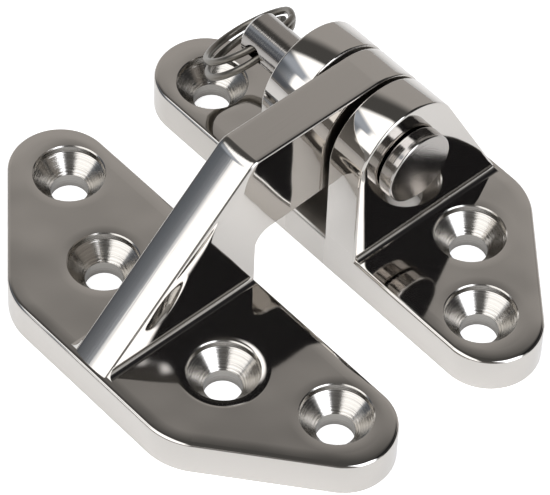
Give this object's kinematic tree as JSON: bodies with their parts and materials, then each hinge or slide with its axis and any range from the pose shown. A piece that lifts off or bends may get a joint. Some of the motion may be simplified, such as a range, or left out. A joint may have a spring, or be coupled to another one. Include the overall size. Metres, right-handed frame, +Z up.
{
  "type": "hatch hinge",
  "caption": "Raised-arm hatch hinge: two screw-down leaves, one with ears and one with a tall arm, on a headed pin held by a split ring.",
  "frame": {"origin": "centre of the eared leaf's bottom face", "axes": "+X along the hinge pin towards its head, +Y from the arm leaf towards the eared leaf, +Z up from the mounting surface"},
  "size_m": [0.0904, 0.083, 0.0371],
  "materials": {
    "polished_casting": "mirror polished stainless steel",
    "turned_pin": "fine turned and polished stainless steel",
    "ring_wire": "drawn stainless wire"
  },
  "bodies": {
    "eared_leaf": {"eared_leaf": "polished_casting"},
    "arm_leaf": {"arm_leaf": "polished_casting"},
    "hinge_pin": {"hinge_pin": "turned_pin"},
    "split_ring": {"split_ring": "ring_wire"}
  },
  "joints": [
    {"name": "leaf_hinge", "type": "hinge", "parent": "eared_leaf", "child": "arm_leaf", "pos_m": [0, -0.00608, 0.0258], "axis": [-1, 0, 0], "range_deg": [0, 193]},
    {"name": "pin_spin", "type": "hinge", "parent": "eared_leaf", "child": "hinge_pin", "pos_m": [0, -0.00608, 0.0258], "axis": [1, 0, 0], "continuous": true},
    {"name": "ring_swing", "type": "hinge", "parent": "hinge_pin", "child": "split_ring", "pos_m": [-0.0221, -0.00608, 0.0258], "axis": [0, 0.9914, 0.1305], "range_deg": [-72, 157]}
  ]
}
